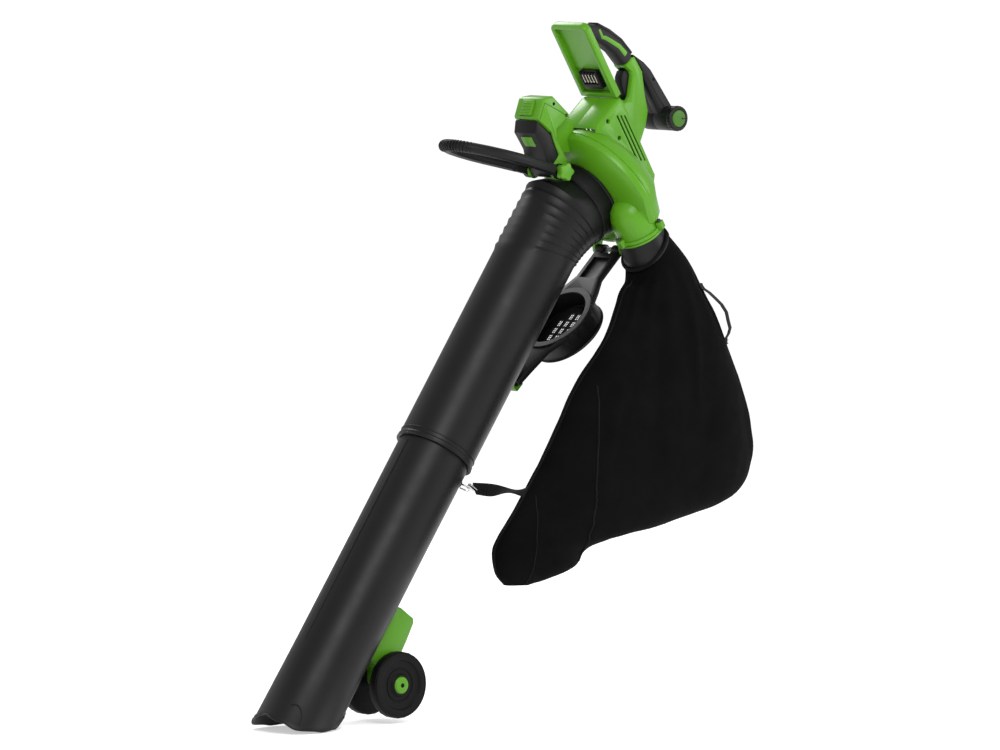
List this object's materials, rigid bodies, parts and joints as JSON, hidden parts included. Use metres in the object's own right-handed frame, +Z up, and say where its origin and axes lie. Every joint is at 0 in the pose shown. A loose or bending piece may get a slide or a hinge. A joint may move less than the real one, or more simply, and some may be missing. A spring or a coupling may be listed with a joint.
{
  "type": "cordless leaf blower vacuum",
  "caption": "Handheld garden vacuum and blower with a slanted suction tube on wheels, a fan scroll, a battery bay, two handles and a hanging collection bag.",
  "frame": {"origin": "middle of the rear grip, where the hand holds the machine", "axes": "+Z up, the nozzle points along -X and down, the outlet and the bag are on the -Y side"},
  "size_m": [0.8661, 0.2599, 1.0316],
  "materials": {
    "green_plastic": "satin",
    "black_plastic": "satin",
    "soft_grip": "matte",
    "steel": "satin",
    "contact_metal": "satin",
    "board": "matte",
    "bag_fabric": "matte",
    "webbing": "matte",
    "wheel_rubber": "matte"
  },
  "bodies": {
    "machine": {"volute_rear": "green_plastic", "volute_front": "green_plastic", "motor_mount": "steel", "front_bearing": "steel", "motor_can": "steel", "rear_bearing": "steel", "housing_left": "green_plastic", "housing_right": "green_plastic", "casing_screw_1": "steel", "casing_screw_2": "steel", "trigger_switch": "black_plastic", "trigger_spring": "steel", "battery_tray": "green_plastic", "terminal_block": "black_plastic", "terminal_contacts": "contact_metal", "control_board": "board", "grip_left": "soft_grip", "grip_right": "soft_grip", "handle_spine": "black_plastic", "rear_arm_left": "black_plastic", "rear_arm_right": "black_plastic", "speed_sensor": "board", "nose_shell": "green_plastic", "button_spring": "steel", "tube_bracket": "black_plastic", "intake_collar": "black_plastic", "upper_tube": "black_plastic", "lower_tube": "black_plastic", "wheel_carriage": "green_plastic", "wheel_axle": "steel", "outlet_flange": "green_plastic", "bag_neck": "black_plastic", "bag_collar": "black_plastic", "bag": "bag_fabric", "bag_handle": "webbing", "bag_strap": "webbing", "tube_eye": "black_plastic", "snap_hook": "steel", "cover_hinge_pin": "steel", "cover_spring": "steel"},
    "rotor": {"motor_rotor": "steel", "impeller": "black_plastic", "impeller_nut": "steel"},
    "trigger": {"trigger": "black_plastic"},
    "dial": {"speed_dial": "black_plastic", "dial_cap": "green_plastic"},
    "nose_button": {"release_button": "green_plastic"},
    "bolt": {"latch_bolt": "black_plastic"},
    "front_handle": {"loop_handle": "black_plastic"},
    "knob": {"star_knob": "green_plastic", "pivot_bolt": "steel"},
    "cover": {"cover_frame": "black_plastic", "cover_grille": "black_plastic"},
    "cover_catch": {"cover_latch": "green_plastic"},
    "right_wheel": {"wheel_right": "wheel_rubber", "hub_cap_right": "green_plastic"},
    "left_wheel": {"wheel_left": "wheel_rubber", "hub_cap_left": "green_plastic"},
    "gate": {"hook_gate": "steel"}
  },
  "joints": [
    {"name": "fan_spin", "type": "hinge", "parent": "machine", "child": "rotor", "pos_m": [-0.035, 0, -0.225], "axis": [-0.8572, 0, -0.515], "continuous": true},
    {"name": "trigger_pull", "type": "hinge", "parent": "machine", "child": "trigger", "pos_m": [0.037, 0, -0.045], "axis": [0, -1, 0], "range_deg": [0, 10], "stiffness_Nm_per_rad": 0.5, "springref_deg": -11.46, "deforming": ["trigger_spring"]},
    {"name": "dial_turn", "type": "hinge", "parent": "machine", "child": "dial", "pos_m": [0.107, 0, -0.116], "axis": [0, -1, 0], "range_deg": [0, 270]},
    {"name": "nose_button_press", "type": "slide", "parent": "machine", "child": "nose_button", "axis": [0.9424, 0, -0.3344], "range_m": [0, 0.004], "stiffness_N_per_m": 400, "springref_m": -0.004, "deforming": ["button_spring"]},
    {"name": "bolt_slide", "type": "slide", "parent": "machine", "child": "bolt", "axis": [0.9424, 0, -0.3344], "range_m": [0, 0.004]},
    {"name": "front_handle_tilt", "type": "hinge", "parent": "machine", "child": "front_handle", "pos_m": [-0.13, 0, -0.188], "axis": [0, 1, 0], "range_deg": [-15, 25]},
    {"name": "knob_turn", "type": "hinge", "parent": "machine", "child": "knob", "pos_m": [-0.13, 0, -0.188], "axis": [0, -1, 0], "range_deg": [0, 300]},
    {"name": "cover_swing", "type": "hinge", "parent": "machine", "child": "cover", "pos_m": [0.0015, 0, -0.313], "axis": [0, -1, 0], "range_deg": [0, 60], "stiffness_Nm_per_rad": 0.5, "springref_deg": -68.75},
    {"name": "cover_latch_slide", "type": "slide", "parent": "cover", "child": "cover_catch", "axis": [0.7189, 0, 0.6951], "range_m": [0, 0.003], "stiffness_N_per_m": 200, "springref_m": -0.004},
    {"name": "right_wheel_spin", "type": "hinge", "parent": "machine", "child": "right_wheel", "pos_m": [-0.4522, 0, -0.94109], "axis": [0, 1, 0], "continuous": true},
    {"name": "left_wheel_spin", "type": "hinge", "parent": "machine", "child": "left_wheel", "pos_m": [-0.4522, 0, -0.94109], "axis": [0, 1, 0], "continuous": true},
    {"name": "hook_gate_open", "type": "hinge", "parent": "machine", "child": "gate", "pos_m": [-0.29178, 0.01023, -0.65911], "axis": [-0.5736, 0, -0.8192], "range_deg": [0, 30], "stiffness_Nm_per_rad": 0.01, "springref_deg": -22.92}
  ],
  "couplings": [
    {"joint": "bolt_slide", "follows": "nose_button_press", "ratio": 1}
  ]
}
